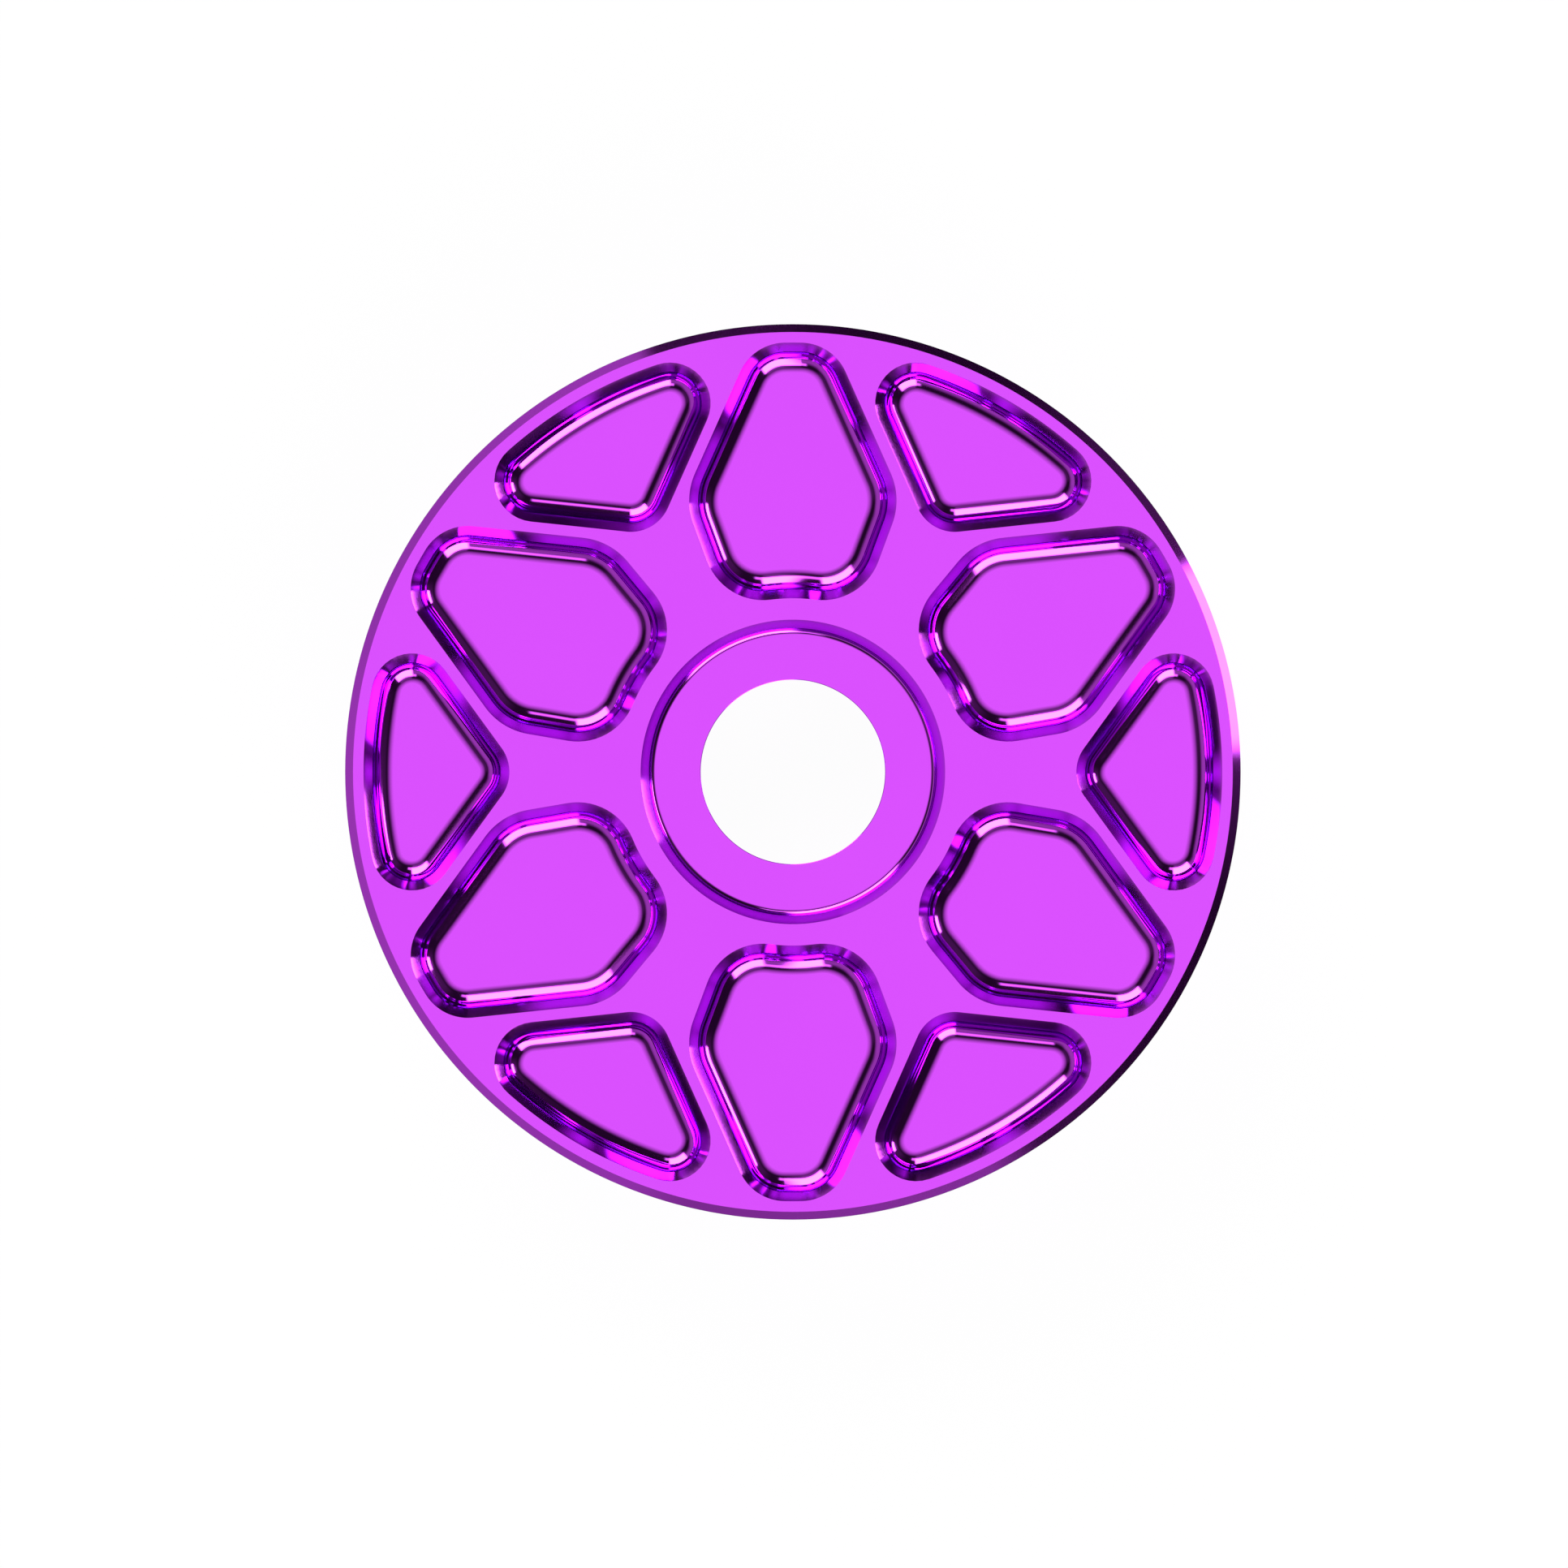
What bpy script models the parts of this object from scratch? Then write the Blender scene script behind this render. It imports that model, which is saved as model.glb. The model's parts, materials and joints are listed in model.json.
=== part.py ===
"""Fidget spinner: a pocketed disc that spins on a thin ball bearing round an open finger hub.

Metres, +Z up. The origin is the middle of the disc, which spins about Z. The recess in front is deep, and the
bearing sits behind it.
"""

import math

import bmesh
import bpy
from mathutils import Matrix, Vector

MM = 0.001

# Disc
DISC_DIAMETER = 62.0 * MM
DISC_THICKNESS = 13.0 * MM
RIM_CHAMFER = 0.55 * MM

# Pockets milled into both faces of the disc, six petals and six triangles
POCKET_DEPTH = 2.6 * MM
POCKET_CHAMFER = 0.62 * MM
POCKET_FILLET = 1.4 * MM
POCKET_COPIES = 6
RIM_WALL = 1.28 * MM  # metal between the pockets and the rim
HUB_WALL = 0.67 * MM  # metal between the petals and the lock ring's hole
WEB_WIDTH = 0.735 * MM  # strip of face between a petal and a triangle
PETAL_TIP_HALF_WIDTH = 2.75 * MM  # where a petal's two long sides reach its outer end
PETAL_ROOT_OFFSET = 0.5 * MM  # how far a petal's short side passes from the disc's centre
PETAL_LONG_SIDE_ANGLE = math.radians(24.0)
PETAL_SHORT_SIDE_ANGLE = math.radians(20.3)
PETAL_TIP_CORNER = 1.4 * MM  # corner radii at the floor of a pocket
PETAL_WAIST_CORNER = 2.6 * MM
PETAL_ROOT_CORNER = 2.1 * MM
TRIANGLE_CORNER = 0.8 * MM

# Ball bearing, a stock thin-section size
BEARING_OUTSIDE = 21.0 * MM
BEARING_SECTION = 3.0 * MM  # from its bore to its outside
BEARING_WIDTH = 4.0 * MM
RACE_WALL = 0.9 * MM  # ring thickness at the shoulders beside the groove
BALL_DIAMETER = 2.0 * MM
BALL_COUNT = 13
GROOVE_PLAY = 0.07 * MM  # between a ball and its groove
CAGE_PLAY = 0.1 * MM  # between a ball and its cage pocket
CAGE_SIDE_GAP = 0.2 * MM  # between the cage and the two races
CAGE_RISE = 0.4 * MM  # how far the cage reaches past the middle of the balls
SHIELD_THICKNESS = 0.18 * MM
SHIELD_SEAT = 0.3 * MM  # step in the outer race that holds a shield and its clip
SHIELD_GAP = 0.1 * MM  # open gap between a shield and the inner race
CLIP_THICKNESS = 0.2 * MM
CLIP_WIDTH = 0.27 * MM
CLIP_OPENING = math.radians(24.0)

# How the bearing is held in the disc
LIP_COVER = 0.53 * MM  # how far the front lip and the lock ring's lip reach in past the outer race
LIP_CHAMFER = 0.57 * MM
LIP_EDGE = 0.1 * MM  # upright edge of the lock ring's lip below its chamfer
LOCK_RING_WALL = 1.33 * MM  # from its lip to its thread
LOCK_NOTCH_COUNT = 4
LOCK_NOTCH_WIDTH = 1.4 * MM
LOCK_NOTCH_DEPTH = 0.9 * MM
LOCK_NOTCH_REACH = 0.75 * MM

# Hub
SLEEVE_WALL = 1.06 * MM
SLEEVE_COVER = 0.2 * MM  # metal of a finger ring over the sleeve's end
WASHER_THICKNESS = 0.3 * MM
RING_PLATE = 0.9 * MM  # thickness of a finger ring under the fingertip
DISH_FILLET = 0.43 * MM  # round the foot of the dish that a fingertip sits in
DISH_WALL = 0.12 * MM  # rim of that dish, which turns under the lip

# Fits
SEAT_GAP = 0.05 * MM  # round a piece that is pushed or screwed into another
FACE_GAP = 0.1 * MM  # between faces that meet
RUNNING_GAP = 0.1 * MM  # between a finger ring and the disc that turns round it

# Facets
RIM_SEGMENTS = 96
RING_SEGMENTS = 48
INNER_RING_SEGMENTS = 36
BALL_SEGMENTS = 12
BALL_RINGS = 6
GROOVE_STEPS = 6
FILLET_STEPS = 2
DISH_STEPS = 3
CORNER_STEPS = 3
CUTTER_OVERSHOOT = 0.2 * MM
SMOOTH_ANGLE = math.radians(35.0)

# Sizes that follow from those above, with heights from the middle of the bearing
DISC_RADIUS = DISC_DIAMETER / 2
RACE_HEIGHT = BEARING_WIDTH / 2
RACE_OUTSIDE_RADIUS = BEARING_OUTSIDE / 2
RACE_BORE_RADIUS = RACE_OUTSIDE_RADIUS - BEARING_SECTION
PITCH_RADIUS = RACE_OUTSIDE_RADIUS - BEARING_SECTION / 2
BALL_RADIUS = BALL_DIAMETER / 2
INNER_SHOULDER = RACE_BORE_RADIUS + RACE_WALL
OUTER_SHOULDER = RACE_OUTSIDE_RADIUS - RACE_WALL
GROOVE_RADIUS = BALL_RADIUS + GROOVE_PLAY
CLIP_TOP = RACE_HEIGHT - FACE_GAP
SHIELD_TOP = CLIP_TOP - CLIP_THICKNESS - SEAT_GAP
SHIELD_BOTTOM = SHIELD_TOP - SHIELD_THICKNESS
SHIELD_SEAT_HEIGHT = SHIELD_BOTTOM - SEAT_GAP
SHIELD_SEAT_RADIUS = OUTER_SHOULDER + SHIELD_SEAT
SEAT_RADIUS = RACE_OUTSIDE_RADIUS + SEAT_GAP
LIP_RADIUS = RACE_OUTSIDE_RADIUS - LIP_COVER
RACE_STOP = RACE_HEIGHT + FACE_GAP
LOCK_RING_RADIUS = LIP_RADIUS + LOCK_RING_WALL
LOCK_HOLE_RADIUS = LOCK_RING_RADIUS + SEAT_GAP
WASHER_BOTTOM = RACE_HEIGHT + FACE_GAP
FLANGE_BOTTOM = WASHER_BOTTOM + WASHER_THICKNESS + FACE_GAP
SLEEVE_RADIUS = RACE_BORE_RADIUS - SEAT_GAP
HUB_BORE_RADIUS = SLEEVE_RADIUS - SLEEVE_WALL
FINGER_FACE = FLANGE_BOTTOM + RING_PLATE
DISH_TOP = FINGER_FACE + DISH_FILLET
LIP_UNDERSIDE = DISH_TOP + RUNNING_GAP
REAR_FACE = -(LIP_UNDERSIDE + LIP_EDGE + LIP_CHAMFER)
FRONT_FACE = REAR_FACE + DISC_THICKNESS
DISC_MIDDLE = (FRONT_FACE + REAR_FACE) / 2
SLEEVE_END = FINGER_FACE - SLEEVE_COVER - FACE_GAP
FINGER_RING_RADIUS = LIP_RADIUS + DISH_WALL
RING_ROOM_RADIUS = FINGER_RING_RADIUS + RUNNING_GAP

# Plan distance from a pocket's edge on the face to its flat floor
FILLET_RADIUS = min(POCKET_FILLET, POCKET_DEPTH - POCKET_CHAMFER)
WALL_SPREAD = POCKET_CHAMFER + FILLET_RADIUS
FACE_HEIGHT = DISC_THICKNESS / 2  # from the disc's middle, as the pockets' levels are
POCKET_FLOOR = FACE_HEIGHT - POCKET_DEPTH
POCKET_OUTER_RADIUS = DISC_RADIUS - RIM_WALL
PETAL_INNER_RADIUS = LOCK_HOLE_RADIUS + HUB_WALL

PURPLE = (0.701, 0.080, 0.991, 1.0)
STEEL = (0.62, 0.62, 0.64, 1.0)
NYLON = (0.72, 0.68, 0.58, 1.0)


def clear_scene():
    for obj in list(bpy.data.objects):
        bpy.data.objects.remove(obj, do_unlink=True)


def material(name, colour, roughness, metallic):
    made = bpy.data.materials.new(name)
    made.use_nodes = True
    shader = made.node_tree.nodes["Principled BSDF"]
    shader.inputs["Base Color"].default_value = colour
    shader.inputs["Roughness"].default_value = roughness
    shader.inputs["Metallic"].default_value = metallic
    return made


def purple_metal(name):
    return material(name, PURPLE, 0.08, 1.0)


def steel(name):
    return material(name, STEEL, 0.2, 1.0)


def group(name, parent=None, height=0.0):
    """An empty on the spin axis that the pieces of one moving body hang from."""
    empty = bpy.data.objects.new(name, None)
    empty.parent = parent
    empty.location = (0, 0, height)
    bpy.context.scene.collection.objects.link(empty)
    return empty


def mesh_from(name, shape):
    bmesh.ops.recalc_face_normals(shape, faces=shape.faces)
    mesh = bpy.data.meshes.new(name)
    shape.to_mesh(mesh)
    shape.free()
    mesh.shade_smooth()
    mesh.set_sharp_from_angle(angle=SMOOTH_ANGLE)
    return mesh


def piece(name, mesh, finish, parent, location=(0, 0, 0)):
    obj = bpy.data.objects.new(name, mesh)
    if not mesh.materials:
        mesh.materials.append(finish)
    obj.parent = parent
    obj.location = location
    bpy.context.scene.collection.objects.link(obj)
    return obj


def cut(obj, name, shape):
    """Takes the closed bodies of a bmesh out of an object."""
    cutter = bpy.data.objects.new(name, mesh_from(name, shape))
    cutter.hide_render = True
    cutter.display_type = "WIRE"
    cutter.parent = obj
    bpy.context.scene.collection.objects.link(cutter)
    boolean = obj.modifiers.new(name, "BOOLEAN")
    boolean.operation = "DIFFERENCE"
    boolean.solver = "EXACT"
    boolean.object = cutter


def turned(name, profile, segments, opening=0.0):
    """A ring whose section is a closed profile of (radius, height) points, with an opening for a C shape."""
    shape = bmesh.new()
    corners = [shape.verts.new((radius, 0, height)) for radius, height in profile]
    section = shape.faces.new(corners)
    whole = opening == 0
    if whole:
        bmesh.ops.delete(shape, geom=[section], context="FACES_ONLY")
    bmesh.ops.spin(
        shape,
        geom=[*shape.verts, *shape.edges, *shape.faces],
        cent=(0, 0, 0),
        axis=(0, 0, 1),
        angle=math.tau - opening,
        steps=segments,
        use_merge=whole,
    )
    return mesh_from(name, shape)


def flipped(profile):
    """The same section for the rear side."""
    return [(radius, -height) for radius, height in profile]


def rectangle(inner, outer, bottom, top):
    return [(inner, bottom), (outer, bottom), (outer, top), (inner, top)]


def arc(centre, radius, start, end, steps):
    """Points from one angle to another, both ends included."""
    angles = [start + (end - start) * step / steps for step in range(steps + 1)]
    return [Vector(centre) + radius * Vector((math.cos(angle), math.sin(angle))) for angle in angles]


def line_meets_circle(normal_angle, distance, radius):
    """Where a line, given by its normal and its distance from the centre, leaves a circle round it."""
    normal = Vector((math.cos(normal_angle), math.sin(normal_angle)))
    along = Vector((normal.y, -normal.x))
    return normal * distance + along * math.sqrt(radius**2 - distance**2)


def lines_meet(first_angle, first_distance, second_angle, second_distance):
    """Where two lines cross, each given by its normal and its distance from the centre."""
    scale = math.sin(second_angle - first_angle)
    x = first_distance * math.sin(second_angle) - second_distance * math.sin(first_angle)
    y = second_distance * math.cos(first_angle) - first_distance * math.cos(second_angle)
    return Vector((x, y)) / scale


def polar_angle(point):
    return math.atan2(point.y, point.x)


def petal_long_side():
    """The distance from the disc's centre to a petal's long side."""
    across = PETAL_TIP_HALF_WIDTH * math.cos(PETAL_LONG_SIDE_ANGLE)
    return across + POCKET_OUTER_RADIUS * math.sin(PETAL_LONG_SIDE_ANGLE)


def petal_half(inset):
    """Half of a petal's outline along +X, moved in from its edge on the face. It starts at the outer end."""
    long_normal = math.pi / 2 - PETAL_LONG_SIDE_ANGLE
    short_normal = math.pi / 2 + PETAL_SHORT_SIDE_ANGLE
    tip_radius = PETAL_TIP_CORNER + WALL_SPREAD
    waist_radius = PETAL_WAIST_CORNER + WALL_SPREAD
    root_radius = PETAL_ROOT_CORNER + WALL_SPREAD
    tip = line_meets_circle(long_normal, petal_long_side() - tip_radius, POCKET_OUTER_RADIUS - tip_radius)
    waist = lines_meet(
        long_normal, petal_long_side() - waist_radius, short_normal, PETAL_ROOT_OFFSET - waist_radius
    )
    root = line_meets_circle(short_normal, PETAL_ROOT_OFFSET - root_radius, PETAL_INNER_RADIUS + root_radius)
    return [
        Vector((POCKET_OUTER_RADIUS - inset, 0)),
        *arc(tip, tip_radius - inset, polar_angle(tip), long_normal, CORNER_STEPS),
        *arc(waist, waist_radius - inset, long_normal, short_normal, CORNER_STEPS),
        *arc(root, root_radius - inset, short_normal, polar_angle(root) + math.pi, CORNER_STEPS),
        Vector((PETAL_INNER_RADIUS + inset, 0)),
    ]


def triangle_half(inset):
    """Half of a triangle's outline along +X, with its sides parallel to the petals beside it."""
    lean = math.pi / POCKET_COPIES - (math.pi / 2 - PETAL_LONG_SIDE_ANGLE)
    side_normal = lean + math.pi
    side_distance = -(petal_long_side() + WEB_WIDTH)
    corner_radius = TRIANGLE_CORNER + WALL_SPREAD
    corner = line_meets_circle(
        side_normal, side_distance - corner_radius, POCKET_OUTER_RADIUS - corner_radius
    )
    point = Vector(((corner_radius - side_distance) / math.cos(lean), 0))
    outer = arc((0, 0), POCKET_OUTER_RADIUS - inset, 0, polar_angle(corner), CORNER_STEPS)
    return [
        *outer[:-1],
        *arc(corner, corner_radius - inset, polar_angle(corner), side_normal, CORNER_STEPS),
        *arc(point, corner_radius - inset, side_normal, math.pi, CORNER_STEPS),
    ]


def mirrored_outline(half):
    """The whole outline from its half on the +Y side, whose two ends lie on the X axis."""
    return half + [Vector((point.x, -point.y)) for point in reversed(half[1:-1])]


def pocket_levels():
    """(inset, height) from above the face down a pocket's chamfer, wall and floor fillet."""
    levels = [
        (-CUTTER_OVERSHOOT, FACE_HEIGHT + CUTTER_OVERSHOOT),
        (POCKET_CHAMFER, FACE_HEIGHT - POCKET_CHAMFER),
    ]
    for step in range(FILLET_STEPS + 1):
        angle = math.pi / 2 * step / FILLET_STEPS
        inset = POCKET_CHAMFER + FILLET_RADIUS * (1 - math.cos(angle))
        levels.append((inset, POCKET_FLOOR + FILLET_RADIUS * (1 - math.sin(angle))))
    return levels


def add_pocket(shape, half_outline, turn, side):
    """Adds one closed pocket body to a cutter, turned round the disc, on the face of that side (1 or -1)."""
    rings = []
    for inset, height in pocket_levels():
        level = Vector((0, 0, DISC_MIDDLE + side * height))
        outline = [turn @ point.to_3d() + level for point in mirrored_outline(half_outline(inset))]
        rings.append([shape.verts.new(point) for point in outline])
    shape.faces.new(rings[0])
    shape.faces.new(rings[-1])
    for above, below in zip(rings, rings[1:]):
        for index in range(len(above)):
            after = (index + 1) % len(above)
            shape.faces.new((above[index], above[after], below[after], below[index]))


def pocket_cutter():
    shape = bmesh.new()
    pitch = math.tau / POCKET_COPIES
    for side in (1, -1):
        for copy in range(POCKET_COPIES):
            add_pocket(shape, triangle_half, Matrix.Rotation(copy * pitch, 3, "Z"), side)
            add_pocket(shape, petal_half, Matrix.Rotation((copy + 0.5) * pitch, 3, "Z"), side)
    return shape


def lip(face):
    """The section from the stop over the outer race, round the room for a finger ring, up to a face."""
    return [
        (RING_ROOM_RADIUS, RACE_STOP),
        (RING_ROOM_RADIUS, LIP_UNDERSIDE),
        (LIP_RADIUS, LIP_UNDERSIDE),
        (LIP_RADIUS, face - LIP_CHAMFER),
        (LIP_RADIUS + LIP_CHAMFER, face),
    ]


def build_disc(rotor):
    shoulder = -(RACE_HEIGHT - FACE_GAP)
    profile = [
        *lip(FRONT_FACE),
        (DISC_RADIUS - RIM_CHAMFER, FRONT_FACE),
        (DISC_RADIUS, FRONT_FACE - RIM_CHAMFER),
        (DISC_RADIUS, REAR_FACE + RIM_CHAMFER),
        (DISC_RADIUS - RIM_CHAMFER, REAR_FACE),
        (LOCK_HOLE_RADIUS, REAR_FACE),
        (LOCK_HOLE_RADIUS, shoulder),
        (SEAT_RADIUS, shoulder),
        (SEAT_RADIUS, RACE_STOP),
    ]
    mesh = turned("disc_body", profile, RIM_SEGMENTS)
    disc = piece("disc_body", mesh, purple_metal("disc_anodised"), rotor)
    cut(disc, "pocket_cutter", pocket_cutter())


def build_lock_ring(rotor):
    """The threaded ring that closes the bearing's seat at the rear, with notches for a spanner."""
    profile = [
        *flipped(lip(-REAR_FACE)),
        (LOCK_RING_RADIUS, REAR_FACE),
        (LOCK_RING_RADIUS, -RACE_STOP),
    ]
    mesh = turned("bearing_lock_ring", profile, RING_SEGMENTS)
    ring = piece("bearing_lock_ring", mesh, purple_metal("lock_ring_anodised"), rotor)
    notches = bmesh.new()
    inside = LIP_RADIUS - RUNNING_GAP
    length = LIP_RADIUS + LOCK_NOTCH_REACH - inside
    size = Matrix.Diagonal((length, LOCK_NOTCH_WIDTH, LOCK_NOTCH_DEPTH * 2, 1))
    place = Matrix.Translation((inside + length / 2, 0, REAR_FACE))
    for notch in range(LOCK_NOTCH_COUNT):
        turn = Matrix.Rotation(math.tau * notch / LOCK_NOTCH_COUNT, 4, "Z")
        bmesh.ops.create_cube(notches, size=1, matrix=turn @ place @ size)
    cut(ring, "lock_notch_cutter", notches)


def groove(shoulder, facing):
    """The section of a ball groove from its front edge to its rear edge. facing is its middle's angle."""
    half_turn = math.acos(abs(shoulder - PITCH_RADIUS) / GROOVE_RADIUS)
    front = half_turn if facing == 0 else math.pi - half_turn
    rear = 2 * facing - front
    return [tuple(point) for point in arc((PITCH_RADIUS, 0), GROOVE_RADIUS, front, rear, GROOVE_STEPS)]


def build_races(rotor, hub):
    front_step = [
        (RACE_OUTSIDE_RADIUS, RACE_HEIGHT),
        (SHIELD_SEAT_RADIUS, RACE_HEIGHT),
        (SHIELD_SEAT_RADIUS, SHIELD_SEAT_HEIGHT),
        (OUTER_SHOULDER, SHIELD_SEAT_HEIGHT),
    ]
    rear_step = flipped(reversed(front_step))
    profile = front_step + groove(OUTER_SHOULDER, 0) + rear_step
    mesh = turned("bearing_outer_race", profile, RING_SEGMENTS)
    piece("bearing_outer_race", mesh, steel("outer_race_steel"), rotor)

    front_edge = [(RACE_BORE_RADIUS, RACE_HEIGHT), (INNER_SHOULDER, RACE_HEIGHT)]
    rear_edge = flipped(reversed(front_edge))
    profile = front_edge + groove(INNER_SHOULDER, math.pi) + rear_edge
    mesh = turned("bearing_inner_race", profile, RING_SEGMENTS)
    piece("bearing_inner_race", mesh, steel("inner_race_steel"), hub)


def ball_turns():
    """The turn about the spin axis that takes the first ball to each ball."""
    return [Matrix.Rotation(math.tau * index / BALL_COUNT, 4, "Z") for index in range(BALL_COUNT)]


def build_balls(orbit):
    shape = bmesh.new()
    bmesh.ops.create_uvsphere(shape, u_segments=BALL_SEGMENTS, v_segments=BALL_RINGS, radius=BALL_RADIUS)
    mesh = mesh_from("ball", shape)
    finish = steel("ball_steel")
    for number, turn in enumerate(ball_turns(), 1):
        piece(f"ball_{number:02}", mesh, finish, orbit, turn @ Vector((PITCH_RADIUS, 0, 0)))


def build_cage(orbit):
    """A crown cage: one ring behind the balls, with posts that reach forward between them."""
    inner = INNER_SHOULDER + CAGE_SIDE_GAP
    outer = OUTER_SHOULDER - CAGE_SIDE_GAP
    profile = rectangle(inner, outer, -(SHIELD_BOTTOM - CAGE_PLAY), CAGE_RISE)
    mesh = turned("ball_cage", profile, RING_SEGMENTS)
    cage = piece("ball_cage", mesh, material("cage_nylon", NYLON, 0.5, 0.0), orbit)
    pockets = bmesh.new()
    lie_outward = Matrix.Translation((PITCH_RADIUS, 0, 0)) @ Matrix.Rotation(math.pi / 2, 4, "Y")
    for turn in ball_turns():
        bmesh.ops.create_cone(
            pockets,
            cap_ends=True,
            segments=BALL_SEGMENTS,
            radius1=BALL_RADIUS + CAGE_PLAY,
            radius2=BALL_RADIUS + CAGE_PLAY,
            depth=OUTER_SHOULDER - INNER_SHOULDER,
            matrix=turn @ lie_outward,
        )
    cut(cage, "cage_pocket_cutter", pockets)


def build_shields(rotor):
    """A thin shield over each side of the balls, and the split wire clip that holds it in the outer race."""
    inner = INNER_SHOULDER + SHIELD_GAP
    outer = SHIELD_SEAT_RADIUS - SEAT_GAP
    shield = rectangle(inner, outer, SHIELD_BOTTOM, SHIELD_TOP)
    clip = rectangle(outer - CLIP_WIDTH, outer, CLIP_TOP - CLIP_THICKNESS, CLIP_TOP)
    for side, place in (("front", list), ("rear", flipped)):
        mesh = turned(f"{side}_shield", place(shield), INNER_RING_SEGMENTS)
        piece(f"{side}_shield", mesh, steel(f"{side}_shield_steel"), rotor)
        mesh = turned(f"{side}_shield_clip", place(clip), INNER_RING_SEGMENTS, CLIP_OPENING)
        piece(f"{side}_shield_clip", mesh, steel(f"{side}_clip_steel"), rotor)


def build_hub(hub):
    """The sleeve through the bearing, with a spacer washer and a dished finger ring on each side."""
    profile = rectangle(HUB_BORE_RADIUS, SLEEVE_RADIUS, -SLEEVE_END, SLEEVE_END)
    mesh = turned("hub_sleeve", profile, RING_SEGMENTS)
    piece("hub_sleeve", mesh, purple_metal("sleeve_anodised"), hub)

    around_sleeve = SLEEVE_RADIUS + SEAT_GAP
    washer = rectangle(
        around_sleeve, INNER_SHOULDER - FACE_GAP, WASHER_BOTTOM, WASHER_BOTTOM + WASHER_THICKNESS
    )
    ring = [
        (around_sleeve, FLANGE_BOTTOM),
        (FINGER_RING_RADIUS, FLANGE_BOTTOM),
        (FINGER_RING_RADIUS, DISH_TOP),
        *arc((LIP_RADIUS - DISH_FILLET, DISH_TOP), DISH_FILLET, 0, -math.pi / 2, DISH_STEPS),
        (HUB_BORE_RADIUS, FINGER_FACE),
        (HUB_BORE_RADIUS, SLEEVE_END + FACE_GAP),
        (around_sleeve, SLEEVE_END + FACE_GAP),
    ]
    for side, place in (("front", list), ("rear", flipped)):
        mesh = turned(f"{side}_spacer_washer", place(washer), INNER_RING_SEGMENTS)
        piece(f"{side}_spacer_washer", mesh, steel(f"{side}_washer_steel"), hub)
        mesh = turned(f"{side}_finger_ring", place(ring), RING_SEGMENTS)
        piece(f"{side}_finger_ring", mesh, purple_metal(f"{side}_ring_anodised"), hub)


def main():
    clear_scene()
    hub = group("hub", height=-DISC_MIDDLE)
    rotor = group("rotor", hub)
    orbit = group("ball_orbit", hub)
    build_hub(hub)
    build_races(rotor, hub)
    build_cage(orbit)
    build_balls(orbit)
    build_shields(rotor)
    build_disc(rotor)
    build_lock_ring(rotor)


main()
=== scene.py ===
import json
import math

import bmesh
import bpy
from mathutils import Matrix, Vector

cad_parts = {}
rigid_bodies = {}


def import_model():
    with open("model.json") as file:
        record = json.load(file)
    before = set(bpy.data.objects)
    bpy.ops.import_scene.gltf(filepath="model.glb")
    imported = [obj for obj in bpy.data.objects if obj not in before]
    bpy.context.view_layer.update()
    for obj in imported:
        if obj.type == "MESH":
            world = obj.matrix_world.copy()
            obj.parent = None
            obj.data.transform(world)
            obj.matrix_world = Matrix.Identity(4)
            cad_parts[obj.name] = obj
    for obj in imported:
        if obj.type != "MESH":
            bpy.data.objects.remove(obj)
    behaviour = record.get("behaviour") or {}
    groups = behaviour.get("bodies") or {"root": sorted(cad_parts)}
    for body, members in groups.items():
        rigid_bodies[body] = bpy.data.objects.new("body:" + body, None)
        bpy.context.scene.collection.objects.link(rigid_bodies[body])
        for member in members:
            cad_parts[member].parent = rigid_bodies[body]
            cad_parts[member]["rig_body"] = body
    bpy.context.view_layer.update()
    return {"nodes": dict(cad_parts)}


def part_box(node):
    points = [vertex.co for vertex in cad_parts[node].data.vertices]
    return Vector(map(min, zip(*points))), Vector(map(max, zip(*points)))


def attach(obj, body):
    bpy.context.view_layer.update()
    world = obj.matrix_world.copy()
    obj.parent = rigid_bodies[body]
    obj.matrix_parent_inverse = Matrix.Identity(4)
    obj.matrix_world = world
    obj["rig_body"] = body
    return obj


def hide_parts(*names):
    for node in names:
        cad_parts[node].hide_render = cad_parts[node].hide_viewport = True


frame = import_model()

# Shapes are modelled in millimetres round the middle of the bearing, and put into the frame when finished
MM = 0.001

# Disc
RIM_CHAMFER = 0.55
POCKET_DEPTH = 2.6
POCKET_CHAMFER = 0.62
POCKET_FILLET = 1.4
POCKET_COPIES = 6
WALL_DRAFT = 0.01
FLOOR_EDGE = 0.03
RIM_WALL = 1.28
HUB_WALL = 0.67
WEB_WIDTH = 0.735
PETAL_TIP_HALF_WIDTH = 2.75
PETAL_ROOT_OFFSET = 0.5
PETAL_LONG_SIDE_ANGLE = math.radians(24.0)
PETAL_SHORT_SIDE_ANGLE = math.radians(20.3)
PETAL_TIP_CORNER = 1.4
PETAL_WAIST_CORNER = 2.6
PETAL_ROOT_CORNER = 2.1
TRIANGLE_CORNER = 0.8

# Bearing
RACE_WALL = 0.9
GROOVE_PLAY = 0.07
SHIELD_SEAT = 0.3
CLIP_WIDTH = 0.27
CLIP_OPENING = math.radians(24.0)
CAGE_PLAY = 0.1
CAGE_SIDE_GAP = 0.2

# Lock ring and hub
LIP_CHAMFER = 0.57
LOCK_NOTCH_COUNT = 4
LOCK_NOTCH_WIDTH = 1.4
LOCK_NOTCH_DEPTH = 0.9
LOCK_NOTCH_REACH = 0.75
SLEEVE_WALL = 1.06
DISH_FILLET = 0.43
DISH_WALL = 0.12
SEAT_GAP = 0.05
FACE_GAP = 0.1
RUNNING_GAP = 0.1
EDGE_BREAK = 0.04

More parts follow.
